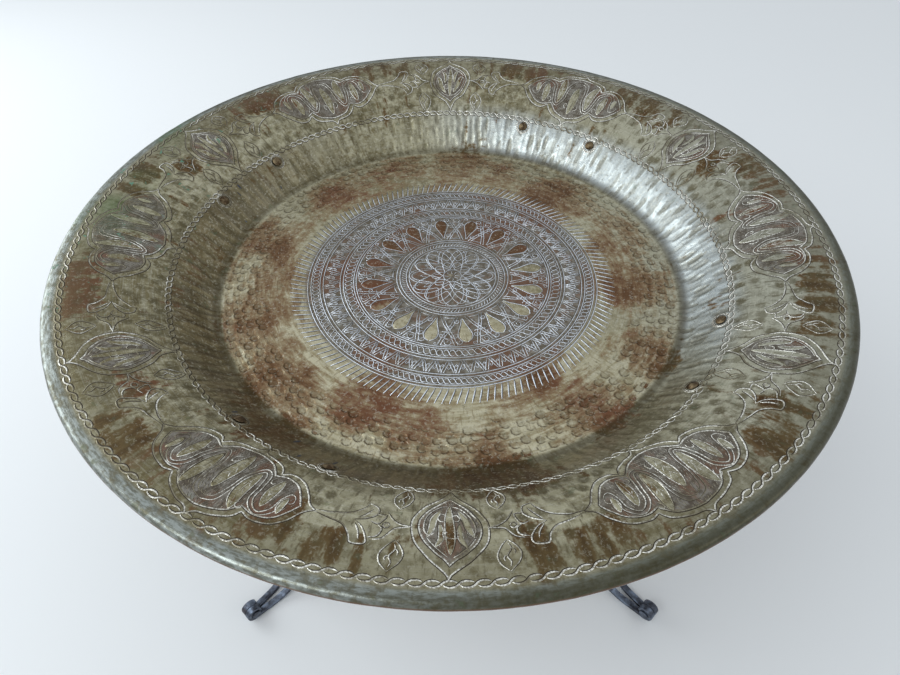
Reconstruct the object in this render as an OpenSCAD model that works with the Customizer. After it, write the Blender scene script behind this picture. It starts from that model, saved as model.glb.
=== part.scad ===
// A round tray of beaten copper that rests on a wrought-iron stand and lifts straight off it.
// Millimetres, +Z up. The floor is z = 0 and the origin lies under the middle of the tray.
// The front is -Y. Directions are degrees anticlockwise from +X, seen from above.

/* [Tray] */
// Diameter over the rolled edge
tray_d = 900; // [850:10:950]
// Height of the rim's crown above the floor
rim_h = 470; // [440:5:500]
// Thickness of the beaten sheet
sheet_t = 1.5; // [1.2:0.1:2]
// Depth of the well's floor below the rim's crown
well_depth = 79; // [74:1:84]
// Radius of the rim's convex curve
crown_r = 180; // [170:1:190]
// Slope of the well's wall, in degrees
wall_slope = 46; // [44:1:48]
// Radius between the wall and the floor of the well
fillet_r = 30; // [25:1:35]
// Distance from the rim's crown out to the top of the rolled edge
rim_flat = 3.5; // [2:0.5:6]
// Diameter of the wire inside the rolled edge
wire_d = 8; // [6:0.5:10]

/* [Cleats and rivets] */
// Direction of the first cleat, the front one
cleat_start = -120; // [-130:1:-110]
// Angle between the two rivets of a cleat
rivet_pitch = 19.4; // [16:0.2:22]
// Angle that a cleat covers
cleat_span = 28; // [26:1:32]
// Thickness of the cleats
cleat_t = 3; // [2:0.5:4]
// Depth of a cleat's lip below its seat
lip_depth = 8; // [5:1:9]
// Diameter of the tray rivets' domed heads
tray_head_d = 13; // [11:0.5:15]

/* [Stand] */
// Height of the flat bar that the hoops are bent from
hoop_h = 24; // [20:1:28]
// Thickness of the hoops
hoop_t = 5; // [4:0.5:6]
// Height of the tie hoop's middle above the floor
tie_h = 185; // [150:5:220]
// Width of a leg bar
bar_w = 9; // [8:0.5:10]
// Thickness of a leg bar
bar_t = 6; // [5:0.5:7]
// Distance from the middle of the stand to the lowest point of the scrolls
foot_r = 390; // [380:1:395]
// Radius of a scroll, to the middle of the bar
scroll_r = 11; // [9:0.5:12]
// Radius of the bend where a bar turns up, to its middle
bend_r = 55; // [30:1:60]
// Half of the angle between a leg's two bars at the top hoop
splay = 9.25; // [5:0.25:12]
// Diameter of the heads of the stand's rivets
bar_head_d = 10; // [8:0.5:11]

/* [Hidden] */
LEGS = ["front_left", "front_right", "back_right", "back_left"];
SIDES = ["left", "right"];
CLEATS = ["front_cleat", "right_cleat", "back_cleat", "left_cleat"];
BARS = [for (leg = LEGS) for (side = SIDES) str(leg, "_leg_", side, "_bar")];

$fn = 96;
shank_d = 5;
hole_slack = 0.1;
seat_gap = 0.1;
head_gap = 0.1;
pair_gap = 0.3;

// The tray's section: a flat floor, a fillet, a straight wall, the convex rim and the rolled edge.
edge_r = wire_d/2 + sheet_t;
edge_mid_r = tray_d/2 - edge_r;
crown_mid_r = edge_mid_r - rim_flat;
crown_mid_z = rim_h - crown_r;
floor_z = rim_h - well_depth;
wall_top_r = crown_mid_r - crown_r*sin(wall_slope);
wall_top_z = crown_mid_z + crown_r*cos(wall_slope);
wall_foot_z = floor_z + fillet_r*(1 - cos(wall_slope));
wall_foot_r = wall_top_r - (wall_top_z - wall_foot_z)/tan(wall_slope);
floor_r = wall_foot_r - fillet_r*sin(wall_slope);
crown_steps = 24;
fillet_steps = 12;
edge_steps = 28;
edge_end = -195;

// The hoop stands just outside the foot of the wall, and each cleat has a flat seat on it.
hoop_in_r = wall_foot_r + 2;
hoop_out_r = hoop_in_r + hoop_t;
seat_z = wall_height(hoop_in_r) - (sheet_t + cleat_t)/cos(wall_slope) - 1;
hoop_top = seat_z - seat_gap;
lip_out_r = hoop_in_r - 1.5;
lip_in_r = lip_out_r - cleat_t;
cleat_steps = 6;
rivet_slope = wall_slope*(crown_steps - 2.5)/crown_steps;

// A leg bar runs from its scroll in along the floor, round the bend and up to the top hoop.
bar_r = hoop_out_r + bar_t/2;
bar_top = hoop_top - 3;
bend_mid_r = bar_r + bend_r;
bend_mid_z = bend_r + bar_t/2;
flat_length = foot_r - bend_mid_r;
bend_length = bend_r*PI/2;
run_length = flat_length + bend_length + bar_top - bend_mid_z;
foot_offset = (bar_w + pair_gap)/2;
top_offset = bar_r*sin(splay);
splay_growth = 1.1;
scroll_start = 185;
scroll_tuck = 4.7;
scroll_z = scroll_r + bar_t/2;
scroll_steps = 22;
bend_steps = 9;
rise_steps = 8;
bar_rivet_z = hoop_top - hoop_h + 9;
eye_pin_d = 5.6;
eye_head_d = 12;

function direction(a) = [cos(a), sin(a)];
function arc(mid, r, a0, a1, steps) = [for (i = [0:steps]) mid + r*direction(a0 + (a1 - a0)*i/steps)];

// Height of the upper face of the straight wall at radius r.
function wall_height(r) = wall_top_z - (wall_top_r - r)*tan(wall_slope);

// The fillet and the rim's curve at a depth below the tray's upper face, from the floor outwards.
function fillet_line(depth) =
    arc([floor_r, floor_z + fillet_r], fillet_r + depth, -90, wall_slope - 90, fillet_steps);
function crown_line(depth, steps) =
    arc([crown_mid_r, crown_mid_z], crown_r - depth,
        90 + wall_slope, 90 + wall_slope*(1 - steps/crown_steps), steps);
function skin(depth) =
    concat([[0, floor_z - depth]], fillet_line(depth), crown_line(depth, crown_steps));
function edge_line(depth, a0, a1) =
    arc([edge_mid_r, rim_h - edge_r], edge_r - depth, a0, a1, edge_steps);
function reversed(list) = [for (i = [len(list) - 1:-1:0]) list[i]];

// A rivet along Z: an upper head on z = 0, a lower head on z = -grip, and the shank between them.
module rivet(grip, head_d, head_h) {
    cap_r = (head_d*head_d/4 + head_h*head_h)/(2*head_h);
    module head() intersection() {
        translate([0, 0, head_h - cap_r]) sphere(r = cap_r);
        cylinder(h = head_h, d = head_d);
    }
    head();
    translate([0, 0, -grip]) {
        cylinder(h = grip, d = shank_d);
        mirror([0, 0, 1]) head();
    }
}

// Puts a child that points up at a tray rivet's place, square to the sloping rim.
module at_tray_rivet(a)
    rotate([0, 0, a])
        translate([crown_mid_r - crown_r*sin(rivet_slope), 0, crown_mid_z + crown_r*cos(rivet_slope)])
            rotate([0, -rivet_slope, 0])
                children();

module at_cleat_rivets(cleat)
    for (side = [-1, 1])
        at_tray_rivet(cleat_start + 90*cleat + side*rivet_pitch/2) children();

module cleat_holes(cleat)
    at_cleat_rivets(cleat)
        translate([0, 0, -15]) cylinder(h = 30, d = shank_d + hole_slack);

// The beaten sheet, with its edge rolled down and round the wire.
module tray_sheet() color("#8a7f5c") difference() {
    rotate_extrude($fn = 180)
        polygon(concat(
            skin(0),
            edge_line(0, 90, edge_end),
            edge_line(sheet_t, edge_end, 90),
            reversed(skin(sheet_t))
        ));
    for (cleat = [0:3])
        cleat_holes(cleat);
}

// The iron wire that stiffens the rolled edge.
module rim_wire() color("#3c3a38")
    rotate_extrude($fn = 180)
        translate([edge_mid_r, rim_h - edge_r])
            circle(r = wire_d/2 - hole_slack/2, $fn = 48);

// Eight domed rivets through the rim and the cleats.
module tray_rivets() color("#5a5043")
    for (cleat = [0:3])
        at_cleat_rivets(cleat)
            translate([0, 0, head_gap])
                rivet(sheet_t + cleat_t + 2*head_gap, tray_head_d, 2.5);

// A forged cleat: a strip under the rim, a flat seat that bears on the hoop, and a lip inside it.
module cleat(index) color("#26262a") difference() {
    strip_t = sheet_t + cleat_t;
    seat_out_r = hoop_out_r + 2;
    fillet_end = fillet_line(sheet_t);
    section = concat(
        [[lip_in_r, seat_z - lip_depth]],
        [for (p = fillet_end) if (p[0] > lip_in_r) p],
        crown_line(sheet_t, cleat_steps),
        reversed(crown_line(strip_t, cleat_steps)),
        [
            [seat_out_r, wall_height(seat_out_r) - strip_t/cos(wall_slope)],
            [seat_out_r, seat_z],
            [lip_out_r, seat_z],
            [lip_out_r, seat_z - lip_depth]
        ]
    );
    rotate([0, 0, cleat_start + 90*index - cleat_span/2])
        rotate_extrude(angle = cleat_span, $fn = 180)
            polygon(section);
    cleat_holes(index);
}

// Distance along a bar from the scroll's lowest point to a height on its upright stretch.
function run_at(z) = flat_length + bend_length + z - bend_mid_z;

// Sideways offset of a bar from the middle of its leg, a distance s along its run.
function bar_offset(s) =
    foot_offset + (top_offset - foot_offset)*pow(max(0, s)/run_length, splay_growth);

// Stations along a bar, from the scroll's tip to the top. Each is [place, face, offset]: the place
// of the bar's middle as radius and height, the direction that its outer face looks in that upright
// plane, and its sideways offset. The scroll winds in a little as it nears its tip.
function scroll_station(u) =
    let (face = direction(scroll_start - (scroll_start + 90)*u))
    [[foot_r, scroll_z] + (scroll_r - scroll_tuck*(1 - u))*face, face, foot_offset];
function bend_station(u) =
    let (face = direction(-90 - 90*u))
    [[bend_mid_r, bend_mid_z] + bend_r*face, face, bar_offset(flat_length + bend_length*u)];
function upright_station(z) = [[bar_r, z], [-1, 0], bar_offset(run_at(z))];
function bar_stations() = concat(
    [for (i = [0:scroll_steps]) scroll_station(i/scroll_steps)],
    [for (i = [0:bend_steps]) bend_station(i/bend_steps)],
    [for (i = [1:rise_steps]) upright_station(bend_mid_z + (bar_top - bend_mid_z)*i/rise_steps)]
);

// The four corners of a bar's section at a station. Its width lies round the stand.
function bar_corners(station) =
    let (a = asin(station[2]/station[0][0]))
    [for (corner = [[-1, 1], [1, 1], [1, -1], [-1, -1]])
        let (p = station[0] + station[1]*corner[0]*bar_t/2)
        let (side = corner[1]*bar_w/2)
        [p[0]*cos(a) - side*sin(a), p[0]*sin(a) + side*cos(a), p[1]]];

// One bar of a leg that points along +X, leaning to +Y.
module leg_bar_blank() {
    st = bar_stations();
    last = len(st) - 1;
    points = [for (station = st) each bar_corners(station)];
    sides = [for (i = [0:last - 1]) for (j = [0:3])
        each [
            [4*i + j, 4*i + (j + 1)%4, 4*(i + 1) + (j + 1)%4],
            [4*i + j, 4*(i + 1) + (j + 1)%4, 4*(i + 1) + j]
        ]];
    polyhedron(points, concat([[3, 2, 1, 0]], sides, [[for (j = [0:3]) 4*last + j]]));
}

// Puts a child that points outwards where a bar crosses a hoop at height z.
module at_bar_rivet(z)
    rotate([0, 0, asin(bar_offset(run_at(z))/bar_r)])
        translate([0, 0, z])
            rotate([0, 90, 0])
                children();

module on_leg(leg) rotate([0, 0, -135 + 90*leg]) children();
module on_side(side) mirror([0, side == 0 ? 1 : 0, 0]) children();

module rivet_hole(z)
    at_bar_rivet(z)
        translate([0, 0, hoop_in_r - 5])
            cylinder(h = 25, d = shank_d + hole_slack);

// A leg bar, with a scroll for a foot. It is drilled where it crosses each hoop.
module leg_bar(index) color("#2b2d33")
    on_leg(floor(index/2)) on_side(index%2) difference() {
        leg_bar_blank();
        rivet_hole(bar_rivet_z);
        rivet_hole(tie_h);
    }

// A hoop of flat bar whose middle is z above its lower edge, drilled for the leg bars.
module hoop(bottom, rivet_z) difference() {
    translate([0, 0, bottom]) difference() {
        cylinder(h = hoop_h, r = hoop_out_r, $fn = 180);
        translate([0, 0, -1]) cylinder(h = hoop_h + 2, r = hoop_in_r, $fn = 180);
    }
    for (leg = [0:3]) for (side = [0, 1])
        on_leg(leg) on_side(side) rivet_hole(rivet_z);
}

// The hoop that the bars hang from and the tray's cleats sit on.
module top_hoop() color("#2b2d33") hoop(hoop_top - hoop_h, bar_rivet_z);

// The lower hoop that keeps the bars from spreading.
module tie_hoop() color("#2b2d33") hoop(tie_h - hoop_h/2, tie_h);

module stand_rivets(z)
    for (leg = [0:3]) for (side = [0, 1])
        on_leg(leg) on_side(side) at_bar_rivet(z)
            translate([0, 0, hoop_out_r + bar_t + head_gap])
                rivet(hoop_t + bar_t + 2*head_gap, bar_head_d, 3);

// One rivet joins each bar to the top hoop.
module bar_rivets() color("#34363c") stand_rivets(bar_rivet_z);

// One rivet joins each bar to the tie hoop.
module tie_rivets() color("#34363c") stand_rivets(tie_h);

// A pin through the eyes of each pair of scrolls, with a flat head at either end.
module foot_pins() color("#34363c") {
    half = bar_w + pair_gap/2 + 0.3;
    head_t = 1.5;
    for (leg = [0:3])
        on_leg(leg) translate([foot_r, 0, scroll_z]) rotate([90, 0, 0]) {
            translate([0, 0, -half]) cylinder(h = 2*half, d = eye_pin_d);
            for (end = [0, 1])
                mirror([0, 0, end]) translate([0, 0, half]) cylinder(h = head_t, d = eye_head_d);
        }
}

tray_sheet();
rim_wire();
tray_rivets();
for (i = [0:3])
    cleat(i);
top_hoop();
tie_hoop();
bar_rivets();
tie_rivets();
foot_pins();
for (i = [0:7])
    leg_bar(i);
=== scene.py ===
import math
import bpy
import numpy as np
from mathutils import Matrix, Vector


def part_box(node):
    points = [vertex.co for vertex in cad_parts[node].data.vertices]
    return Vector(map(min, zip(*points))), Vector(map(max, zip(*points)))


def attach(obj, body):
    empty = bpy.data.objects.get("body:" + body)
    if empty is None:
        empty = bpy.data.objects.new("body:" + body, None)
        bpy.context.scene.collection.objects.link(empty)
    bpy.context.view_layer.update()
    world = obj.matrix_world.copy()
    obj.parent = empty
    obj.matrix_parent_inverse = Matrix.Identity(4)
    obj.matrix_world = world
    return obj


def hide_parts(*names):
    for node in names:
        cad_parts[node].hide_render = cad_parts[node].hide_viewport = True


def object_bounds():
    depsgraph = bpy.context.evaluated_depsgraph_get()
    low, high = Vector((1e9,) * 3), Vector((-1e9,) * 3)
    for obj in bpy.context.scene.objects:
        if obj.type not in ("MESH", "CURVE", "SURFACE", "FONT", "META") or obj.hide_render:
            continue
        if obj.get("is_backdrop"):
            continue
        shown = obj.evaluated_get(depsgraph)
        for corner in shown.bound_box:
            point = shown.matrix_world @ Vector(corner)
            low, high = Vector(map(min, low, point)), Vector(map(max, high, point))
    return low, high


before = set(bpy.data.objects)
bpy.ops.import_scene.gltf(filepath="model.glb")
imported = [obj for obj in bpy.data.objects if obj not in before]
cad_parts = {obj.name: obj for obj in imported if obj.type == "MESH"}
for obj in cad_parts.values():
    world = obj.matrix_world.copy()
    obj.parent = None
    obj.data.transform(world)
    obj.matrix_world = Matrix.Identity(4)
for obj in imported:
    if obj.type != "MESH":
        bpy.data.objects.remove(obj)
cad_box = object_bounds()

mm = 0.001
tau = 2*math.pi

# ---------------------------------------------------------------------------------------------
# Camera: a telephone's wide lens, held about a metre up and looking down into the tray.
sheet_low, sheet_high = (np.array(corner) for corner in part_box("tray_sheet"))
tray_r = sheet_high[0]
rim_z = sheet_high[2]

look_down = math.radians(47.13)
camera_back = 1.423*tray_r
camera_up = 1.100*tray_r
camera_data = bpy.data.cameras.new("camera")
camera_data.sensor_width = 36
camera_data.lens = 27.04
camera = bpy.data.objects.new("camera", camera_data)
camera.location = (0, -camera_back, rim_z + camera_up)
camera.rotation_euler = (math.pi/2 - look_down, 0, 0)
bpy.context.collection.objects.link(camera)
bpy.context.scene.camera = camera

# ---------------------------------------------------------------------------------------------
# Studio: a pale floor, an even pale sky, two broad cool windows on the left and a weak fill.
bpy.context.scene.view_settings.view_transform = "Standard"


def new_material(name):
    """A material, its node tree, and its Principled BSDF."""
    made = bpy.data.materials.new(name)
    made.use_nodes = True
    return made, made.node_tree, made.node_tree.nodes["Principled BSDF"]


pale_floor, _, shader = new_material("pale_floor")
shader.inputs["Base Color"].default_value = (0.86, 0.86, 0.85, 1)
shader.inputs["Roughness"].default_value = 0.8
floor_mesh = bpy.data.meshes.new("studio_floor")
floor_half = 6.0
floor_corners = np.array([(-1, -1, 0), (1, -1, 0), (1, 1, 0), (-1, 1, 0)])*floor_half
floor_mesh.from_pydata(floor_corners.tolist(), [], [(0, 1, 2, 3)])
floor_mesh.materials.append(pale_floor)
studio_floor = bpy.data.objects.new("studio_floor", floor_mesh)
bpy.context.collection.objects.link(studio_floor)
studio_floor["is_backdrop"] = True

world = bpy.data.worlds.new("studio_sky")
bpy.context.scene.world = world
world.use_nodes = True
world.node_tree.nodes["Background"].inputs["Color"].default_value = (0.80, 0.86, 0.92, 1)
world.node_tree.nodes["Background"].inputs["Strength"].default_value = 0.80


def soft_light(name, place, target, size, watts, colour):
    """A square area light at a place, turned to face a target."""
    data = bpy.data.lights.new(name, "AREA")
    data.shape = "SQUARE"
    data.size = size
    data.energy = watts
    data.color = colour
    lamp = bpy.data.objects.new(name, data)
    way = np.array(target, float) - np.array(place, float)
    lamp.location = place
    lamp.rotation_euler = (
        math.acos(-way[2]/np.linalg.norm(way)), 0, math.atan2(way[1], way[0]) - math.pi/2)
    bpy.context.collection.objects.link(lamp)


tray_middle = (0, 0, 0.42)
soft_light("window_left", (-2.3, 0.9, 1.3), tray_middle, 1.8, 26, (0.88, 0.95, 1.0))
soft_light("window_high", (-1.5, -1.1, 2.4), tray_middle, 1.4, 20, (0.88, 0.95, 1.0))
soft_light("room_right", (2.4, -1.0, 1.6), tray_middle, 1.4, 3, (1.0, 0.93, 0.84))

# ---------------------------------------------------------------------------------------------
# The beaten sheet: one disc of copper, raised from the flat with a ball hammer, tinned, and its
# edge rolled round a wire. It is made here as four rings of one skin that meet edge to edge: the
# rim with its rolled edge, the hammered wall, the dented outer floor, and the middle disc.
sheet_t = 1.5*mm
edge_r = 5.5*mm
rim_flat = 3.5*mm
crown_r = 180*mm
wall_slope = math.radians(46)
fillet_r = 30*mm
floor_z = sheet_low[2] + sheet_t
edge_mid_r = tray_r - edge_r
crown_mid_r = edge_mid_r - rim_flat
wall_top_r = crown_mid_r - crown_r*math.sin(wall_slope)
wall_top_z = rim_z - crown_r*(1 - math.cos(wall_slope))
wall_foot_z = floor_z + fillet_r*(1 - math.cos(wall_slope))
wall_foot_r = wall_top_r - (wall_top_z - wall_foot_z)/math.tan(wall_slope)
floor_r = wall_foot_r - fillet_r*math.sin(wall_slope)
rim_seam_r = 331*mm
floor_seam_r = 285*mm
disc_seam_r = 206*mm


def smooth(low, high, x):
    """0 below low, 1 above high, and an S-shaped rise between them."""
    t = np.clip((x - low)/(high - low), 0, 1)
    return t*t*(3 - 2*t)


def section(r):
    """Height and slope of the smooth upper face: floor, fillet, straight wall, then a round crown."""
    from_crown = np.clip(crown_mid_r - r, 0, crown_r*math.sin(wall_slope))
    crown = rim_z - crown_r + np.sqrt(crown_r**2 - from_crown**2)
    wall = wall_top_z - (wall_top_r - r)*math.tan(wall_slope)
    up_fillet = np.clip(r - floor_r, 0, fillet_r*math.sin(wall_slope))
    fillet = floor_z + fillet_r - np.sqrt(fillet_r**2 - up_fillet**2)
    height = np.where(r >= wall_top_r, crown, np.where(r >= wall_foot_r, wall, fillet))
    slope = np.where(r >= wall_top_r, np.arcsin(from_crown/crown_r),
                     np.where(r >= wall_foot_r, wall_slope, np.arcsin(up_fillet/fillet_r)))
    return height, slope


def chance(i, j, seed):
    """A fixed random number from 0 to 1 for each pair of whole numbers."""
    n = (i.astype(np.int64)*374761393 + j.astype(np.int64)*668265263 + seed*974634777) & 0xFFFFFFFF
    n = ((n ^ (n >> 13))*1274126177) & 0xFFFFFFFF
    n = ((n ^ (n >> 16))*2246822519) & 0xFFFFFFFF
    return ((n ^ (n >> 15)) & 0xFFFFFF)/float(0x1000000)


def hammer_blows(r, a, row, gap, long, wide, wander, seed):
    """Hammer blows in rings that are row apart, with gap between blows along a ring. Each blow has
    an oval face, long by wide, and wanders from its place. Gives, for each point, how far out it
    lies in the nearest blow's face, as 0 in the middle and 1 at the edge, that blow's number, and
    how far the point lies to the near left of the blow, from -1 to 1, which places the painted
    shade on that side of a dent."""
    nearest = np.full(r.shape, 9.0)
    number = np.zeros(r.shape)
    side = np.zeros(r.shape)
    ring = np.floor(r/row)
    for ring_step in (-1, 0, 1):
        i = ring + ring_step
        count = np.maximum(np.round(tau*(i + 0.5)*row/gap), 3)
        turn = a/tau*count + chance(i, i*0, seed)
        for step in (-1, 0, 1):
            j = np.floor(turn) + step
            key = np.mod(j, count)
            off_a = (j + 0.5 + wander*(chance(i, key, seed + 1) - 0.5) - turn)/count*tau*r
            off_r = (i + 0.5 + wander*(chance(i, key, seed + 2) - 0.5))*row - r
            reach = 0.85 + 0.3*chance(i, key, seed + 3)
            out = np.sqrt((off_r/long)**2 + (off_a/wide)**2)/reach
            east = -off_r*np.cos(a) + off_a*np.sin(a)
            north = -off_r*np.sin(a) - off_a*np.cos(a)
            shaded_side = -(0.55*east + 0.83*north)/np.maximum(np.hypot(east, north), 1e-9)
            number = np.where(out < nearest, chance(i, key, seed + 4), number)
            side = np.where(out < nearest, shaded_side, side)
            nearest = np.minimum(out, nearest)
    return nearest, number, side


def beating(r, a):
    """How deep the hammer has left the skin below its smooth section, and a mark from 0 to 1 where
    a blow's face shows: dirt in the marks, and on the floor a crescent of painted shade on each
    round dent's near left side, strongest at the front. Round blows stand in rings on the floor's
    edge and lie loosely on the rim, long ones run up the wall, and the whole sheet waves a little."""
    near_front = 0.5 - 0.5*np.sin(a)
    out, number, side = hammer_blows(
        r, a, row=12.8*mm, gap=13.4*mm, long=5.7*mm, wide=5.7*mm, wander=0.5, seed=11)
    zone = smooth(223*mm, 246*mm, r + 14*mm*(number - 0.5))*(1 - smooth(279*mm, 285*mm, r))
    cap = np.clip(1 - out**2, 0, 1)
    depth = smooth(0.0, 0.50, cap)*zone*(0.40 + 0.45*near_front)*(0.6 + 0.6*number)*mm
    ring = smooth(0.0, 0.10, cap)*(1 - smooth(0.30, 0.60, cap))
    # The ring on each floor dent's near left side is painted shade; the rest of the mark is dirt in the
    # dent.
    mark = ring*np.clip(0.50 + 0.60*side, 0.25, 1) + 0.30*smooth(0.1, 0.4, cap)*number
    mark = mark*zone*(0.65 + 0.35*near_front)*(1.0 + 0.5*number)
    out, number, _ = hammer_blows(
        r, a, row=15*mm, gap=9.5*mm, long=13*mm, wide=4.6*mm, wander=0.8, seed=23)
    zone = smooth(280*mm, 290*mm, r)*(1 - smooth(330*mm, 352*mm, r))
    cap = np.clip(1 - out**2, 0, 1)
    depth = depth + cap*zone*(0.45 + 0.75*number)*mm
    mark = mark + smooth(0.1, 0.5, cap)*zone*number*0.8
    out, number, _ = hammer_blows(
        r, a, row=14*mm, gap=14.5*mm, long=6.2*mm, wide=6.2*mm, wander=0.7, seed=37)
    zone = smooth(326*mm, 338*mm, r)*(1 - 0.6*smooth(392*mm, 425*mm, r))
    zone = zone*(1 - smooth(428*mm, 434*mm, r))
    cap = np.clip(1 - out**2, 0, 1)
    depth = depth + cap*zone*(0.16 + 0.24*number)*mm
    mark = mark + smooth(0.0, 0.5, cap)*zone*number
    wave = 0.5 + 0.25*np.sin(5*a + 60*r) + 0.15*np.sin(11*a - 90*r + 1.3) + 0.10*np.sin(23*a + 150*r)
    wave = 0.35 + 0.55*wave
    depth = depth + wave*smooth(floor_r, wall_foot_r, r)*(1 - smooth(434*mm, 440*mm, r))*0.6*mm
    return depth, np.clip(mark, 0, 1)


def skin_point(r, a, below=0.0, beaten=1.0):
    """The point of the skin at radius r and direction a, moved in along the section's normal by the
    beating and by a depth below the face."""
    height, slope = section(r)
    depth, _ = beating(r, a)
    inward = depth*beaten + below
    out = r + inward*np.sin(slope)
    return np.stack([out*np.cos(a), out*np.sin(a), height - inward*np.cos(slope)], -1)


def grid_faces(rows, columns, joined):
    """Quads over a grid whose columns run round. joined closes the last row to the first."""
    row = np.arange(rows if joined else rows - 1)[:, None]
    column = np.arange(columns)[None, :]
    after = (column + 1) % columns
    below = (row + 1) % rows
    quads = np.stack([row*columns + column, below*columns + column,
                      below*columns + after, row*columns + after], -1)
    return quads.reshape(-1, 4)


def mark_points(mesh, mark, values):
    """Gives each point of a mesh a value that the materials read."""
    layer = mesh.attributes.new(mark, "FLOAT", "POINT")
    layer.data.foreach_set("value", np.ascontiguousarray(values, np.float32).ravel())


def fill_mesh(name, points, faces, normals=None, marks=None):
    """A smooth mesh object from arrays. faces is a list of arrays, one for each number of corners.
    marks holds each mark's values, one for each point."""
    mesh = bpy.data.meshes.new(name)
    corners = np.concatenate([block.ravel() for block in faces]).astype(np.int32)
    sizes = np.concatenate([np.full(len(block), block.shape[1]) for block in faces])
    starts = np.concatenate([[0], np.cumsum(sizes)[:-1]]).astype(np.int32)
    mesh.vertices.add(len(points))
    mesh.vertices.foreach_set("co", np.ascontiguousarray(points, np.float32).ravel())
    mesh.loops.add(len(corners))
    mesh.loops.foreach_set("vertex_index", corners)
    mesh.polygons.add(len(sizes))
    mesh.polygons.foreach_set("loop_start", starts)
    mesh.update(calc_edges=True)
    mesh.validate()
    mesh.shade_smooth()
    for mark, values in (marks or {}).items():
        mark_points(mesh, mark, values)
    if normals is not None:
        mesh.normals_split_custom_set_from_vertices(normals.reshape(-1, 3).tolist())
    piece = bpy.data.objects.new(name, mesh)
    bpy.context.collection.objects.link(piece)
    return piece


def grid_normals(points):
    """Unit normals of a grid of points whose columns run round, from its own slopes."""
    along = np.gradient(points, axis=0)
    round_it = np.roll(points, -1, 1) - np.roll(points, 1, 1)
    normals = np.cross(along, round_it)
    return normals/np.maximum(np.linalg.norm(normals, axis=-1, keepdims=True), 1e-12)


def tone(red, green, blue):
    """A colour named by its ordinary 0 to 255 values, as the linear value that shaders use."""
    return (*((np.array([red, green, blue])/255)**2.2).tolist(), 1)


class Value:
    """A number that shader nodes work out. A sum or a product of Values is a Math node."""

    def __init__(self, socket):
        self.socket = socket
        self.tree = socket.id_data

    def __add__(self, other):
        return calc("ADD", self, other)

    def __mul__(self, other):
        return calc("MULTIPLY", self, other)


def link(value, socket):
    """Feeds a node's input from a Value or a node's output, or sets it to a plain value."""
    value = getattr(value, "socket", value)
    if isinstance(value, bpy.types.NodeSocket):
        socket.id_data.links.new(value, socket)
    else:
        socket.default_value = value


def add(tree, kind, inputs=(), **settings):
    """Puts one shader node in a tree. inputs says what feeds its sockets."""
    node = tree.nodes.new("ShaderNode" + kind)
    for name, value in settings.items():
        setattr(node, name, value)
    for socket, value in dict(inputs).items():
        link(value, node.inputs[socket])
    return node


def calc(operation, a, b=0.0):
    """The output of one Math node."""
    return Value(add(a.tree, "Math", {0: a, 1: b}, operation=operation).outputs[0])


def rise(value, low, high, start=0.0, end=1.0):
    """A value that goes smoothly from start to end as the input goes from low to high."""
    node = add(value.tree, "MapRange", {"Value": value, "From Min": low, "From Max": high,
                                        "To Min": start, "To Max": end},
               interpolation_type="SMOOTHSTEP")
    return Value(node.outputs["Result"])


def noise(vector, scale, detail=2.0, rough=0.5, distort=0.0):
    """The grey value of a cloud pattern, which is 0.5 on average."""
    node = add(vector.id_data, "TexNoise", {"Vector": vector, "Scale": scale, "Detail": detail,
                                            "Roughness": rough, "Distortion": distort})
    return Value(node.outputs[0])


def either(share, first, second):
    """One value where the share is 0 and another where it is 1, mixed in between."""
    return Value(add(share.tree, "Mix", {0: share, 2: first, 3: second}).outputs[0])


def blend(share, under, over):
    """One colour over another, by a mask."""
    node = add(share.tree, "Mix", {0: share, 6: under, 7: over}, data_type="RGBA",
               clamp_factor=True)
    return node.outputs[2]


def raised(shader, height, strength, distance):
    """Lets a height pattern stand out of a material's surface by the distance."""
    bump = add(height.tree, "Bump", {"Height": height, "Strength": strength,
                                     "Distance": distance})
    link(bump.outputs[0], shader.inputs["Normal"])


def finish_group(name, takes):
    """A node group for a finish: it takes the numbers named and gives colour, roughness, metal and
    height."""
    tree = bpy.data.node_groups.new(name, "ShaderNodeTree")
    for socket, value in takes.items():
        made = tree.interface.new_socket(
            name=socket, in_out="INPUT", socket_type="NodeSocketFloat")
        made.default_value = value
    for socket, kind in (("Colour", "Color"), ("Roughness", "Float"), ("Metallic", "Float"),
                         ("Height", "Float")):
        tree.interface.new_socket(name=socket, in_out="OUTPUT", socket_type="NodeSocket" + kind)
    taken = tree.nodes.new("NodeGroupInput").outputs
    given = tree.nodes.new("NodeGroupOutput").inputs
    return tree, {socket: Value(taken[socket]) for socket in takes}, given


def group_finish(name, group, takes, strength, distance):
    """A material with a finish group's looks. What the group takes is a number, or the name of the
    mesh's mark that holds it."""
    made, tree, shader = new_material(name)
    looks = add(tree, "Group", node_tree=group)
    for socket, value in takes.items():
        if isinstance(value, str):
            value = add(tree, "Attribute", attribute_name=value).outputs["Fac"]
        link(value, looks.inputs[socket])
    for given, taken in (("Colour", "Base Color"), ("Roughness", "Roughness"),
                         ("Metallic", "Metallic")):
        link(looks.outputs[given], shader.inputs[taken])
    raised(shader, Value(looks.outputs["Height"]), strength, distance)
    return made


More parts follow.
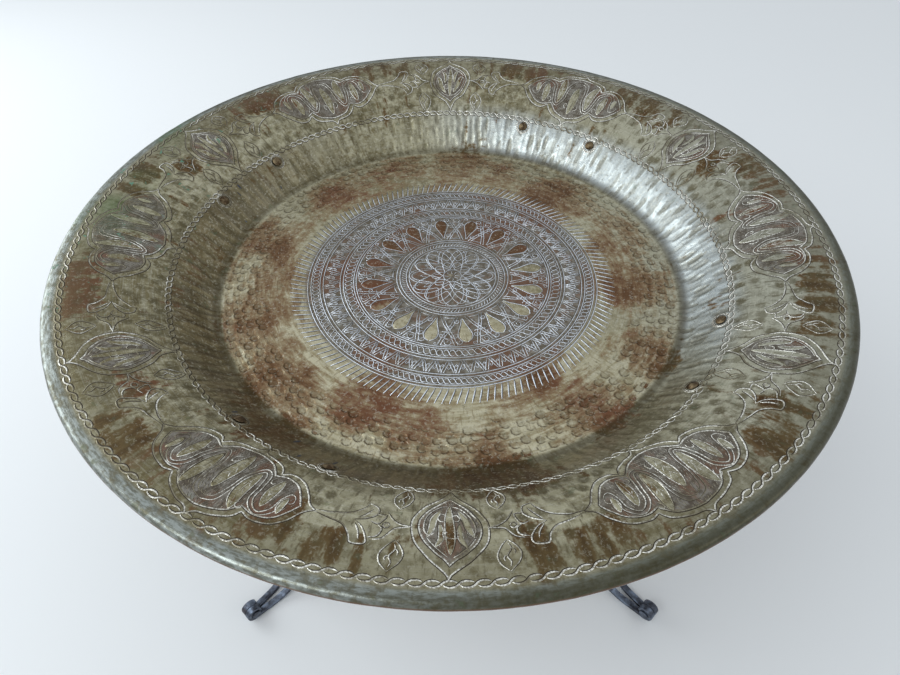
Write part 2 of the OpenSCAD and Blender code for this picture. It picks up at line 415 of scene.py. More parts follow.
# Old tinning: thin tin over copper, gone olive with age, rubbed through in brown streaks that run
# outwards on the rim and round the floor, dull in the hammer marks, grey where the ground is chased,
# green in a few corners. The underside has next to no tin left. Light and shade are painted in too:
# a bluish painted reflection on the wall's back right, painted shade on its front left and round its
# foot, painted shade crescents in the floor's dents, painted highlight and shade on the rolled edge,
# flecks painted as glints, and a lighter grey towards the right.
tin, into, out = finish_group("old_tinning", {"Blow_dirt_and_shade": 0.0, "Worn": 0.0, "Chased": 0.0})
place = add(tin, "TexCoord").outputs["Object"]
east, north, up = map(Value, add(tin, "SeparateXYZ", {0: place}).outputs)
out_r = calc("SQRT", east*east + north*north)
out_x = calc("DIVIDE", east, out_r)
out_y = calc("DIVIDE", north, out_r)


def ringwise(round_scale, out_scale):
    """A place for ring patterns: direction times one scale, and radius times another."""
    return add(tin, "CombineXYZ", {0: out_x*round_scale, 1: out_y*round_scale,
                                   2: out_r*out_scale}).outputs[0]


streak = noise(ringwise(30, 17), 1.0, 3, 0.6)
blotch = noise(place, 17, 5, 0.68, 0.3)
cloud = noise(place, 5.5, 3, 0.55)
mottle = noise(place, 120, 4, 0.6)
speck = noise(place, 420, 2, 0.5)
scour = noise(ringwise(9, 900), 1.0, 2, 0.6)
scrape = noise(ringwise(90, 60), 1.0, 3, 0.6)
patches = noise(place, 26, 5, 0.7, 0.2)
brushed = noise(ringwise(7, 150), 1.0, 4, 0.65, 0.4)
freckle = noise(place, 230, 4, 0.7)
glint_fleck = noise(place, 300, 3, 0.65, 0.4)
drawn = noise(ringwise(45, 420), 1.0, 4, 0.65)

# Where it is worn: in patches on the floor, in streaks on the wall and the rim.
on_floor = rise(out_r, 278*mm, 284*mm, 1.0, 0.0)
streaked = either(rise(out_r, 270*mm, 340*mm), brushed*0.62 + patches*0.38, streak)
worn_score = streaked*0.46 + blotch*0.38 + mottle*0.16 + into["Worn"]*0.17
washed = on_floor*rise(worn_score, 0.490, 0.585, 0.0, 0.75)
bare = either(on_floor, rise(worn_score, 0.555, 0.625), rise(worn_score, 0.535, 0.660))
deep_bare = rise(worn_score, 0.62, 0.70)

# The tin that is left: olive, with a lighter grey painted light towards the right, palest on the
# floor's front, rubbed in lines.
colour = blend(rise(cloud*0.5 + mottle*0.5, 0.42, 0.60), tone(184, 177, 148), tone(128, 118, 88))
# Lighter grey towards the right: painted light.
colour = blend(rise(east, 0.12, 0.40, 0.0, 0.55), colour, tone(178, 180, 168))
pale = on_floor*rise(east*0.35 + north, 0.10, -0.22, 0.05, 0.90)
colour = blend(pale, colour, blend(rise(brushed, 0.40, 0.62), tone(214, 204, 172),
                                   tone(176, 164, 130)))
colour = blend(rise(scour, 0.45, 0.75, 0.0, 0.35), colour, tone(206, 202, 184))
colour = blend(rise(scrape, 0.54, 0.68, 0.0, 0.6), colour,
               blend(on_floor, tone(92, 82, 58), tone(140, 124, 94)))
colour = blend(washed, colour, tone(152, 130, 98))

# The wall has a bluish white painted reflection at the back right, and at the front left brown wear
# darkened further by painted shade.
to_back_right = north*0.55 + east
past_floor = rise(out_r, 282*mm, 292*mm)
# Bluish white at the back right: painted reflection.
wall_reflection = rise(to_back_right, 0.10, 0.28)*past_floor*rise(out_r, 350*mm, 322*mm)
colour = blend(wall_reflection*0.75, colour, tone(196, 204, 206))
# Dark brown at the front left: real brown wear plus painted shade.
wall_wear_and_shade = rise(to_back_right, 0.06, -0.22)*past_floor*rise(out_r, 338*mm, 326*mm)
colour = blend(wall_wear_and_shade*0.66, colour, blend(rise(streak, 0.42, 0.60), tone(122, 106, 76),
                                             tone(72, 54, 34)))

# Bare copper, dirt and painted shade in the hammer marks, freckles, light flecks painted as glints, and
# a dark band of painted shade round the wall's foot.
copper = blend(deep_bare, tone(108, 86, 58), tone(82, 60, 40))
copper = blend(on_floor, copper, blend(deep_bare, tone(130, 102, 76), tone(108, 80, 58)))
copper = blend(rise(cloud, 0.50, 0.62, 0.0, 0.55), copper, tone(124, 82, 64))
colour = blend(bare, colour, copper)
# Hammer marks: dark dirt, and on the floor the painted shade crescents.
colour = blend(into["Blow_dirt_and_shade"]*0.85, colour, blend(on_floor, tone(98, 90, 66), tone(72, 56, 36)))
colour = blend(rise(freckle, 0.55, 0.68, 0.0, 0.45), colour, tone(78, 68, 48))
# Light flecks: painted glints.
colour = blend(rise(glint_fleck, 0.54, 0.66, 0.0, 0.30), colour, tone(222, 216, 196))
# A dark band round the wall's foot, darkest at the front: painted shade in the crease.
foot = rise(out_r, 280*mm, 285*mm)*rise(out_r, 296*mm, 288*mm)
colour = blend(foot*rise(north, 0.16, -0.10, 0.42, 0.62), colour, tone(66, 56, 38))

# The rim darkens outwards to a rolled edge that is grey from handling and bare underneath. The edge
# carries painted light: light streaks painted as highlights, painted shade on its right side, and
# painted shade on the lower half of its lip at the right and back.
colour = blend(rise(out_r, 385*mm, 420*mm, 0.0, 0.40), colour, tone(98, 90, 66))
# Light streaks on the rolled edge: painted highlights.
edge = blend(rise(drawn, 0.38, 0.62), tone(112, 114, 106), tone(164, 170, 166))
# Darker towards the right: painted shade.
edge = blend(rise(north*-0.3 + east, 0.02, 0.30, 0.0, 0.7), edge, tone(92, 92, 76))
edge = blend(rise(mottle, 0.50, 0.66, 0.0, 0.7), edge, tone(104, 98, 78))
# The lower half of the lip at the right and back: painted shade.
at_right = rise(north*-0.45 + east, 0.02, 0.26, 0.0, 0.75)
at_back = rise(north, 0.10, 0.30, 0.0, 0.75)
lower_lip_shade = rise(out_r, 438*mm, 445*mm)*calc("MAXIMUM", at_right, at_back)
edge = blend(lower_lip_shade, edge, tone(58, 56, 42))
colour = blend(rise(out_r, 434*mm, 440*mm, 0.0, 0.85), colour, edge)
beneath = rise(out_r, 446*mm, 448*mm)*rise(up, rim_z - 3*mm, rim_z - 5.5*mm)
colour = blend(beneath, colour, tone(106, 76, 54))

# The chased ground, then a green haze and green specks, both strongest at the left.
ground = blend(rise(mottle, 0.40, 0.62), tone(92, 82, 74), tone(144, 138, 130))
ground = blend(rise(worn_score, 0.50, 0.60)*0.75, ground, tone(122, 86, 68))
colour = blend(into["Chased"]*0.85, colour, ground)
haze = rise(cloud, 0.40, 0.56)*rise(east, -0.35, -0.41)*rise(north, -0.06, 0.06)
colour = blend(haze*0.5, colour, tone(88, 122, 78))
to_left = east*-1.0 + north*0.3
green = rise(noise(place, 60, 3, 0.7), 0.62, 0.70)*rise(to_left, 0.30, 0.42, 0.12, 1.0)
colour = blend(green, colour, tone(92, 134, 112))
link(colour, out["Colour"])
link(mottle*0.30 + into["Blow_dirt_and_shade"]*0.10 + bare*0.08 + green*0.30 + 0.20, out["Roughness"])
link(green*-0.8 + 0.98, out["Metallic"])
link(mottle*0.6 + speck*0.25 + scour*0.25 + scrape*0.35 + speck*into["Chased"]*0.8,
     out["Height"])


def tinned(name, worn="worn", chased="chased"):
    """A tinned finish, whose wear is read from the mesh's own marks unless it is given here."""
    return group_finish(name, tin, {"Blow_dirt_and_shade": "blow", "Worn": worn, "Chased": chased}, 0.8, 0.45*mm)


skin_finish = tinned("old_tinned_copper")

# Where the tin is rubbed through most: direction from the front, radius, reach, how much.
rubbed = np.array([
    [-47, 258, 70, 0.9], [-106, 246, 70, 0.8], [-72, 245, 70, 0.7], [-136, 240, 60, 0.8],
    [-24, 222, 60, 0.9], [-8, 236, 55, 0.5], [60, 268, 60, 0.9], [35, 262, 70, 0.6],
    [88, 226, 75, 0.9], [138, 216, 80, 0.9], [176, 240, 80, 0.5], [30, 196, 40, 0.9],
    [-165, 250, 60, 0.5], [112, 240, 50, 0.5], [-90, 222, 60, 0.6], [-150, 222, 60, 0.6],
    [-60, 236, 60, 0.7], [20, 203, 40, 0.6], [105, 238, 60, 0.5], [160, 224, 60, 0.6],
    [-92, 152, 42, 0.9], [-30, 152, 46, 0.7], [-70, 98, 40, 0.8], [150, 100, 48, 1.0],
    [75, 98, 46, 0.8], [24, 158, 40, 0.6], [-140, 98, 40, 0.6], [-60, 30, 44, 0.5],
    [-35, 302, 60, 0.9], [8, 305, 80, 1.0], [-90, 300, 60, 0.5], [-132, 367, 26, 0.8],
    [-112, 379, 26, 0.9], [132, 391, 40, 0.9], [48, 402, 36, 0.9], [-20, 400, 40, 1.0],
    [9, 402, 34, 1.0], [-52, 380, 30, 0.8], [72, 408, 34, 0.7], [160, 408, 40, 0.7],
    [-160, 408, 40, 0.6], [114, 380, 34, 0.6]])


def rubbing(r, a):
    """How far the tin is rubbed away, from 0 to 1: most in the places listed, and along the outer
    half of the rim between its twelve motifs."""
    front = a + math.pi/2
    between = (0.5 - 0.5*np.cos(12*front))*smooth(384*mm, 400*mm, r)*(1 - smooth(424*mm, 436*mm, r))
    amount = 0.70*between
    for way, radius, reach, most in rubbed:
        where = math.radians(way - 90)
        gap = np.hypot(r*np.cos(a) - radius*mm*math.cos(where), r*np.sin(a) - radius*mm*math.sin(where))
        amount = np.maximum(amount, most*(1 - smooth(0.25, 1.0, gap/(reach*mm))))
    return amount


def ring_grid(radii, turns):
    """Radius and direction for each point of a grid: a row for each ring, a column for each turn."""
    return np.meshgrid(radii, np.arange(turns)*tau/turns, indexing="ij")


def skin_ring(radii, turns, under_radii):
    """A closed ring of skin: its upper face at the radii given, from the inside out, and its plain
    underside back to the start, with their normals and marks."""
    r, a = ring_grid(radii, turns)
    r_under, a_under = ring_grid(under_radii[::-1], turns)
    upper = skin_point(r, a)
    under = skin_point(r_under, a_under, below=sheet_t, beaten=0.5)
    points = np.concatenate([upper, under])
    normals = np.concatenate([grid_normals(upper), grid_normals(under)])
    marks = {"blow": np.concatenate([beating(r, a)[1], 0*r_under]),
             "worn": np.concatenate([rubbing(r, a), 1.4 + 0*r_under]),
             "chased": np.concatenate([1 - smooth(178*mm, 186*mm, r), 0*r_under])}
    return points, normals, marks


# The rim: crown, flat, the edge rolled down round the wire, and the underside.
turns = 1000
crown_rows = np.linspace(rim_seam_r, crown_mid_r, 46)
r, a = ring_grid(crown_rows, turns)
r_under, a_under = ring_grid(np.linspace(rim_seam_r, crown_mid_r, 9)[::-1], turns)
roll, roll_a = ring_grid(np.radians(np.linspace(90, -195, 26)), turns)
ripple = 0.12*mm*(np.sin(31*roll_a) + np.sin(47*roll_a + 2) + np.sin(83*roll_a + 1) - 3)/3
roll_out = edge_mid_r + (edge_r + ripple)*np.cos(roll)
rolled = np.stack([roll_out*np.cos(roll_a), roll_out*np.sin(roll_a),
                   rim_z - edge_r + (edge_r + ripple)*np.sin(roll)], -1)
rim_points = np.concatenate([
    skin_point(r, a), rolled, skin_point(r_under, a_under, below=sheet_t, beaten=0.5)])
tray_rim = fill_mesh(
    "tray_rim", rim_points.reshape(-1, 3), [grid_faces(len(rim_points), turns, True)],
    grid_normals(rim_points),
    {"blow": np.concatenate([beating(r, a)[1], 0*roll, 0*r_under]),
     "worn": np.concatenate([rubbing(r, a), 0*roll, 1.4 + 0*r_under])})


def ring_piece(name, radii, under_radii):
    """One mesh object from a closed ring of skin."""
    points, normals, marks = skin_ring(radii, turns, under_radii)
    faces = [grid_faces(len(points), turns, True)]
    return fill_mesh(name, points.reshape(-1, 3), faces, normals, marks)


# The wall, and the outer floor with close rows for its small round dents.
tray_wall = ring_piece("tray_wall", np.linspace(floor_seam_r, rim_seam_r, 34),
                       np.linspace(floor_seam_r, rim_seam_r, 7))
dented_from = 220*mm
tray_floor = ring_piece("tray_floor", np.concatenate([
    np.linspace(disc_seam_r, dented_from, 6)[:-1], np.linspace(dented_from, floor_seam_r, 74)]),
    np.linspace(disc_seam_r, floor_seam_r, 6))

# The middle disc, closed by a fan at the middle of each face.
disc_turns = 500
disc_rows = np.linspace(4*mm, disc_seam_r, 64)
disc_under = np.linspace(4*mm, disc_seam_r, 8)
points, normals, marks = skin_ring(disc_rows, disc_turns, disc_under)
flat = points.reshape(-1, 3)
poles = np.array([[0, 0, floor_z], [0, 0, floor_z - sheet_t]])
spoke = np.arange(disc_turns)
last_row = (len(points) - 1)*disc_turns
upper_fan = np.stack([spoke, (spoke + 1) % disc_turns, 0*spoke + len(flat)], -1)
under_fan = np.stack([last_row + spoke, last_row + (spoke + 1) % disc_turns,
                      0*spoke + len(flat) + 1], -1)[:, ::-1]
tray_disc = fill_mesh(
    "tray_disc", np.concatenate([flat, poles]),
    [grid_faces(len(points), disc_turns, False), upper_fan, under_fan],
    np.concatenate([normals.reshape(-1, 3), [[0, 0, 1], [0, 0, -1]]]),
    {mark: np.concatenate([values.ravel(), [0, 0]]) for mark, values in marks.items()})

for skin in (tray_rim, tray_wall, tray_floor, tray_disc):
    skin.data.materials.append(skin_finish)
    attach(skin, "tray")
    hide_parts("tray_sheet")


# ---------------------------------------------------------------------------------------------
# The rope borders: two rings of chased S-strokes, each lying over the tail of the last. A stroke
# is cut with a burin, which throws up a burr beside a furrow: the burr is painted with a bright
# highlight and the furrow with a dark painted shadow. They are made here as low closed bands that
# follow the beaten skin.
# Across the band the brightness is 1 for the burr's painted highlight and 0 for the furrow's painted
# shadow.
burr_section = np.array([  # share of the width to the side, height above the skin in mm, brightness
    (-0.50, -0.15, 1), (-0.32, 0.22, 1), (0.02, 0.26, 1), (0.18, 0.06, 0), (0.40, 0.05, 0),
    (0.55, -0.15, 0), (0.00, -0.45, 0)])


def chased(lines, width, closed=False, taper=0.6, band=burr_section, proud=1.0):
    """Closed bands along lines of the same number of points, given in plan. Across a line, the band
    is the section, as wide as asked and narrower at open ends. Each section point is put on the
    skin, then moved up by its height times proud. Gives points, faces and brightness."""
    lines = np.asarray(lines, float)
    m, n = lines.shape[:2]
    if closed:
        along = np.roll(lines, -1, 1) - np.roll(lines, 1, 1)
        breadth = np.broadcast_to(width, (m, n))
    else:
        along = np.gradient(lines, axis=1)
        ends = np.abs(np.linspace(-1, 1, n))
        breadth = np.broadcast_to(width, (m, n))*(1 - taper*ends**4)
    along = along/np.maximum(np.linalg.norm(along, axis=-1, keepdims=True), 1e-9)
    side = np.stack([-along[..., 1], along[..., 0]], -1)
    share, lift, bright = band.T
    plan = lines[:, :, None] + side[:, :, None]*(breadth[..., None]*share)[..., None]
    r = np.linalg.norm(plan, axis=-1)
    a = np.arctan2(plan[..., 1], plan[..., 0])
    points = skin_point(r, a, below=-lift*proud*mm)
    k = len(band)
    first = (np.arange(m)*n*k)[:, None, None]
    i = np.arange(n if closed else n - 1)[None, :, None]
    j = np.arange(k)[None, None, :]
    after, over = (i + 1) % n, (j + 1) % k
    quads = np.stack([first + i*k + j, first + after*k + j, first + after*k + over,
                      first + i*k + over], -1).reshape(-1, 4)
    faces = [quads]
    if not closed:
        start = first[:, 0] + np.arange(k)
        faces.append(start)
        faces.append(start[:, ::-1] + (n - 1)*k)
    return points.reshape(-1, 3), faces, np.broadcast_to(bright, (m, n, k)).ravel()


def chased_piece(name, work, finish):
    """One mesh object from many bands."""
    offset, points, faces, bright = 0, [], [], []
    for more_points, more_faces, more_bright in work:
        points.append(more_points)
        faces += [block + offset for block in more_faces]
        bright.append(more_bright)
        offset += len(more_points)
    piece = fill_mesh(name, np.concatenate(points), faces, None, {"bright": np.concatenate(bright)})
    piece.data.materials.append(finish)
    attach(piece, "tray")
    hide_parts("tray_sheet")
    return piece


def cut_finish(name, light, furrow_shadow, roughness, dulled=1.0):
    """A painted highlight on the raised edge of a cut and a painted shadow beside it, parted by the
    mesh's brightness mark. The highlight breaks up where the burin shook, and is duller in dirty
    patches and duller still towards the left."""
    made, tree, shader = new_material(name)
    place = add(tree, "TexCoord").outputs["Object"]
    shake = noise(place, 650, 2, 0.5)
    side = Value(add(tree, "SeparateXYZ", {0: place}).outputs[0])
    dulling = noise(place, 26, 3, 0.6) + rise(side, -0.10, -0.36, 0.0, 0.12)
    burr_glint = blend(rise(dulling, 0.46, 0.64, 0.0, dulled), light, tone(142, 134, 112))
    burr_glint = blend(rise(shake, 0.42, 0.62, 0.0, 0.75*dulled), burr_glint, tone(112, 104, 88))
    edge = rise(Value(add(tree, "Attribute", attribute_name="bright").outputs["Fac"]), 0.30, 0.70)
    link(blend(edge, furrow_shadow, burr_glint), shader.inputs["Base Color"])
    link(shake*0.25 + edge*-0.15 + (roughness + 0.15), shader.inputs["Roughness"])
    link(edge*0.3 + 0.65, shader.inputs["Metallic"])
    raised(shader, shake, 0.6, 0.15*mm)
    return made


# Near-white painted highlight on the burrs, dark brown painted shadow in the furrows.
bright_cut = cut_finish("bright_cut", tone(252, 248, 236), tone(56, 48, 38), 0.22)


def around(stroke, count, turn=0.0):
    """Copies of a stroke turned round the tray's middle. A stroke is radius and sideways distance
    in mm, and turn is where the first lies."""
    stroke = np.asarray(stroke, float)*mm
    a = turn + np.arange(count)[:, None]*tau/count + stroke[None, :, 1]/stroke[None, :, 0]
    return np.stack([stroke[:, 0]*np.cos(a), stroke[:, 0]*np.sin(a)], -1)


def rope(radius, swing, count, lean, stations=13):
    """S-strokes for a rope ring. Each swings as a cosine from one eye of the rope into the next,
    from 0.36 of the pitch before it to 0.36 after."""
    pitch = tau*radius/count
    t = np.linspace(-0.36, 1.36, stations)
    bulge = -0.06*np.sin(tau*t)
    return around(np.stack([radius + lean*swing*np.cos(math.pi*t), pitch*(t - bulge)], -1), count)


def ring_line(radius, stations):
    """A circle round the tray's middle, at a radius in mm."""
    a = np.arange(stations)*tau/stations
    return np.stack([np.cos(a), np.sin(a)], -1)[None]*radius*mm


outer_rope = rope(431.6, 2.7, 208, 1)
inner_rope = rope(331, 2.4, 202, -1)
chased_piece("rope_borders", [chased(outer_rope, 2.7*mm, taper=0.7),
                              chased(inner_rope, 2.4*mm, taper=0.7)], bright_cut)

# ---------------------------------------------------------------------------------------------
# The rim's chased motifs, by turns a long cartouche and a round medallion, with flowers between
# them and almond leaves beside the medallions. The outlines are cut double, the grounds inside are
# hatched dark, and plain leaves are left standing in them.
motif_r = 382
cartouche_ways = np.radians([-150, -90, -30, 30, 90, 150])
round_ways = np.radians([-120, -60, 0, 60, 120, 180])


def smooth_line(points, gap=2.6):
    """A Catmull-Rom curve through given points, in even steps of about the gap in mm."""
    p = np.asarray(points, float)
    p = np.concatenate([2*p[:1] - p[1:2], p, 2*p[-1:] - p[-2:-1]])
    t = np.linspace(0, 1, 14, endpoint=False)[:, None, None]
    p0, p1, p2, p3 = p[:-3], p[1:-2], p[2:-1], p[3:]
    fine = 0.5*(2*p1 + (p2 - p0)*t + (2*p0 - 5*p1 + 4*p2 - p3)*t**2
                + (3*p1 - p0 - 3*p2 + p3)*t**3)
    fine = np.concatenate([fine.transpose(1, 0, 2).reshape(-1, 2), p[-2:-1]])
    run = np.concatenate([[0], np.cumsum(np.linalg.norm(np.diff(fine, axis=0), axis=1))])
    at = np.linspace(0, run[-1], max(3, int(run[-1]/gap + 1.5)))
    return np.stack([np.interp(at, run, fine[:, 0]), np.interp(at, run, fine[:, 1])], -1)


def mirrored(line):
    """The same line on the motif's other side."""
    return line*[-1, 1]


def loop_of(*parts):
    """A closed outline from the parts of its right half, first to last, and their mirror image."""
    half = np.concatenate([part[:-1] for part in parts] + [parts[-1][-1:]])
    return np.concatenate([half, mirrored(half)[::-1][1:-1]])


def on_rim(line, ways):
    """Puts a motif's line on the rim at each of the ways, which are angles from the front. A line is
    distance round the rim and distance outwards in mm. A hand's small unevenness is added."""
    u, v = np.asarray(line, float).T
    way = np.asarray(ways)[:, None]
    u = u + 0.8*np.sin(0.10*v + 5*way) + 0.4*np.sin(0.23*u + 11*way)
    v = v + 0.7*np.sin(0.08*u + 7*way) + 0.4*np.sin(0.21*v + 3*way)
    front = way + u/motif_r
    r = (motif_r + v)*mm
    return np.stack([r*np.sin(front), -r*np.cos(front)], -1)


def within(points, outline):
    """Whether each point lies inside a closed outline, by how often a line from it crosses it."""
    x, y = points[:, 0, None], points[:, 1, None]
    x0, y0 = outline.T
    x1, y1 = np.roll(outline, -1, 0).T
    crosses = ((y0 > y) != (y1 > y)) & (x < (x1 - x0)*(y - y0)/(y1 - y0 + 1e-12) + x0)
    return crosses.sum(1) % 2 == 1


cartouche_outer = loop_of(
    smooth_line([(0, -47.5), (6, -41.5), (20, -38.5), (31, -33), (37, -25)]),
    smooth_line([(37, -25), (46, -30), (60, -27), (72, -17), (80, -5), (87, 0)]),
    smooth_line([(87, 0), (80, 5), (72, 17), (60, 26), (46, 29), (36, 26)]),
    smooth_line([(36, 26), (30, 34), (17, 40), (5, 42.5), (0, 48)]))
cartouche_inner = loop_of(
    smooth_line([(0, -37.5), (11, -35.5), (22, -31.5), (33, -21)]),
    smooth_line([(33, -21), (45, -24.5), (58, -21), (68, -11), (75, 0)]),
    smooth_line([(75, 0), (68, 11), (58, 20.5), (45, 24), (33, 21)]),
    smooth_line([(33, 21), (24, 31), (12, 35.5), (0, 37.5)]))
round_outer = loop_of(
    smooth_line([(0, -49), (2.5, -43), (10, -34), (22, -25), (30, -10), (31, 2), (27, 17), (17, 29),
                 (7, 37), (1.5, 43), (0, 48)]))
round_inner = loop_of(
    smooth_line([(0, -36), (6, -31), (17, -22), (24.5, -9), (25.5, 2), (21, 14), (12, 24), (4, 30),
                 (0, 35)]))

# Leaves left standing, as a middle line and the half width at its fullest, and the scrolled stems
# that link them. Each is mirrored across its motif.
cartouche_leaves = [
    ([(0, -32), (0, -8), (0, 17)], 6.2),
    ([(23, -17), (22, 6), (25, 29)], 5.6),
    ([(46, 14), (45, -4), (46, -20)], 4.8),
    ([(61, -4), (60, 5), (61, 14)], 3.0)]
cartouche_stems = [
    [(0, 27), (8, 23), (12.5, 8), (14, -10), (22, -23), (31, -19), (35, -3), (37, 11), (46, 19),
     (54, 12), (56, 0), (60, -9), (66, -7), (68, 0), (64, 2)],
    [(0, 31.5), (11, 26), (15.5, 9), (17, -8), (23, -19.5), (28, -16), (31.5, -2), (34, 14), (46, 22.5),
     (57.5, 14), (59, 1)],
    [(0, -26), (0, -8), (0, 12)], [(0, -4), (3.5, 3)], [(0, -12), (4, -5)], [(0, -20), (3, -14)],
    [(23, -12), (22, 6), (24.5, 24)], [(22, 4), (19, 11)], [(22, 4), (26, 11)],
    [(22, -5), (25, 2)], [(22, -5), (19.5, 2)],
    [(46, 10), (45, -4), (46, -16)], [(45, 2), (48, -4)], [(45, 2), (42, -4)],
    [(7, -24), (11, -21), (10, -15), (6.5, -17), (8, -20)],
    [(30, 17), (27, 22), (31, 25), (33, 21)],
    [(37, -19), (35, -14), (39, -11), (40, -15)]]
round_leaves = [
    ([(0, -27), (0, 0), (0, 26)], 3.6),
    ([(19, 9), (15, -1), (13, -10), (7, -21)], 2.8),
    ([(12, 19), (8, 12), (7, 4), (8, -5)], 2.2)]
round_stems = [
    [(2, -26), (9, -24), (17, -16), (21, -6), (21, 3), (17, 7), (13, 4), (15, 0)],
    [(2, 28), (9, 22), (16, 15), (20, 9)],
    [(0, -12), (6, -16), (9, -11), (6, -7), (3, -9)],
    [(0, 10), (6, 8), (5, 2), (2, 4)]]
flower_lines = [
    [(87, -1), (101, -2), (116, -7), (126, -16), (128, -22)],
    [(128, -22), (136, -19), (138, -11), (131, -4), (121, 0)],
    [(121, 0), (130, 5), (136, 15), (135, 21), (125, 22), (122, 15), (114, 7), (101, 4), (87, 1)],
    [(138, -11), (146, -11), (144, -4), (141, 0), (135, -2)],
    [(141, 0), (146, 4), (144, 11), (137, 14)],
    [(152, 0), (149, 3), (145, 0), (149, -3), (152, 0)],
    [(146, -15), (154, -6), (161, -2), (169, 0)],
    [(141, 15), (149, 12), (156, 3), (161, 1), (169, 0)],
    [(124, -2), (130, -10), (133, -16)],
    [(124, 3), (129, 10), (131, 17)]]
almond_middles = [(43, -34), (43, 28)]
almond_lines = [
    [(0, -14), (5, -9), (9, -1), (7.5, 6), (3, 11), (0, 14)],
    [(0, -11), (2.2, -5), (-1.6, 1), (1.2, 6), (0, 10.5)],
    [(2.2, -5), (4.8, -3.5), (4.6, 0)], [(-1.6, 1), (-4.6, 1.5), (-3.6, 5)]]


def leaf_sides(middle, half):
    """The two edges of a leaf: its middle line, moved to each side by a rounded taper."""
    line = smooth_line(middle)
    along = np.gradient(line, axis=0)
    along = along/np.linalg.norm(along, axis=1, keepdims=True)
    side = np.stack([-along[:, 1], along[:, 0]], -1)
    t = np.linspace(0, 1, len(line))[:, None]
    swell = half*np.sin(math.pi*t)**0.6
    return line + side*swell, line - side*swell, line, swell[:, 0]


leaf_section = np.array([  # a low plain leaf with rounded edges
    (-1.00, -0.20, 1), (-0.80, 0.16, 1), (0.0, 0.24, 1), (0.80, 0.16, 1), (1.00, -0.20, 1),
    (0.0, -0.50, 0)])
edge_w = 2.5*mm
outline_work, leaf_work, hatch_work = [], [], []
for outlines, ways in (((cartouche_outer, cartouche_inner), cartouche_ways),
                       ((round_outer, round_inner), round_ways)):
    for outline in outlines:
        outline_work.append(chased(on_rim(outline, ways), edge_w, closed=True))

for leaves, stems, inner, ways in (
        (cartouche_leaves, cartouche_stems, cartouche_inner, cartouche_ways),
        (round_leaves, round_stems, round_inner, round_ways)):
    kept = [np.array([[99.0, 99.0]])]
    reach = [np.array([0.0])]
    for middle, half in leaves:
        left, right, line, swell = leaf_sides(middle, half)
        on_axis = abs(line[:, 0]).max() < 0.1
        for turn in ((1,) if on_axis else (1, -1)):
            flip = np.array([turn, 1])
            width = np.maximum(swell, 0.4)*mm
            leaf_work.append(chased(on_rim(line*flip, ways), width, taper=0, band=leaf_section))
            for edge in (left, right):
                outline_work.append(chased(on_rim(edge*flip, ways), 1.9*mm))
            kept.append(line*flip)
            reach.append(swell + 1.2)
    for stem in stems:
        line = smooth_line(stem)
        for flip in ([1, 1], [-1, 1]):
            outline_work.append(chased(on_rim(line*flip, ways), 2.0*mm))
            kept.append(line*flip)
            reach.append(np.full(len(line), 1.6))
    kept, reach = np.concatenate(kept), np.concatenate(reach)
    u, v = np.meshgrid(np.arange(-76, 77, 2.9), np.arange(-36, 37, 5.4))
    u = u + 1.45*(np.round(v/5.4) % 2)
    spots = np.stack([u.ravel(), v.ravel()], -1)
    spots = spots[within(spots, inner*0.95)]
    gap = np.linalg.norm(spots[:, None] - kept[None], axis=2) - reach
    spots = spots[gap.min(1) > 0.4]
    lean = 0.9*np.where(spots[:, :1] > 0, -1, 1)
    stroke = np.linspace(-2.2, 2.2, 3)
    strokes = np.stack([spots[:, :1] + lean*stroke/2.2, spots[:, 1:] + stroke], -1)
    for way in ways:
        there = on_rim(strokes.reshape(-1, 2), [way])[0].reshape(strokes.shape)
        hatch_work.append(chased(there, 1.0*mm, taper=0.5, proud=0.7))

for line in flower_lines:
    for flip in (1, -1):
        placed = smooth_line(line)*[flip, 1]
        outline_work.append(chased(on_rim(placed, cartouche_ways), 2.3*mm, taper=0.7))
for middle in almond_middles:
    for flip in (1, -1):
        for number, line in enumerate(almond_lines):
            for other in ((1, -1) if number == 0 else (1,)):
                placed = smooth_line(line, 2.2)*[other, 1] + np.array(middle)*[flip, 1]
                outline_work.append(chased(on_rim(placed, round_ways), 2.0*mm, taper=0.7))

chased_piece("rim_motif_lines", outline_work, bright_cut)
# The hatch strokes: light painted highlight and dark painted shadow.
chased_piece("rim_motif_ground", hatch_work, cut_finish(
    "ground_cut", tone(176, 170, 158), tone(62, 56, 48), 0.3))
chased_piece("rim_motif_leaves", leaf_work, tinned("leaf_tin", worn=0.15, chased=0.0))

# The ground inside the outlines is darker than the plain rim round it.
rim_r = np.linalg.norm(rim_points[..., :2], axis=-1)
rim_front = np.arctan2(rim_points[..., 1], rim_points[..., 0]) + math.pi/2
rim_chased = np.zeros(rim_r.shape)
for inner, ways in ((cartouche_inner, cartouche_ways), (round_inner, round_ways)):
    for way in ways:
        off = np.mod(rim_front - way + math.pi, tau) - math.pi
        near = (np.abs(off*motif_r) < 78) & (np.arange(len(rim_r))[:, None] < len(crown_rows))
        spots = np.stack([off[near]*motif_r, rim_r[near]/mm - motif_r], -1)
        rim_chased[near] = np.maximum(rim_chased[near], within(spots, inner))
mark_points(tray_rim.data, "chased", rim_chased)

# ---------------------------------------------------------------------------------------------
# The chased medallion in the middle of the floor: ring lines, rope bands, a band of chevrons with
# hooks, a band of sixteen plain drops on a knotted ground, and a knot of loops in the centre. The
# burin's rays stand round it.
fine_w = 1.8*mm
medallion_middle = np.array([3.0, -1.0])*mm


def engraved(lines, width, **cut):
    """Bands along lines that are drawn about the medallion's own middle."""
    return chased(lines + medallion_middle, width, **cut)


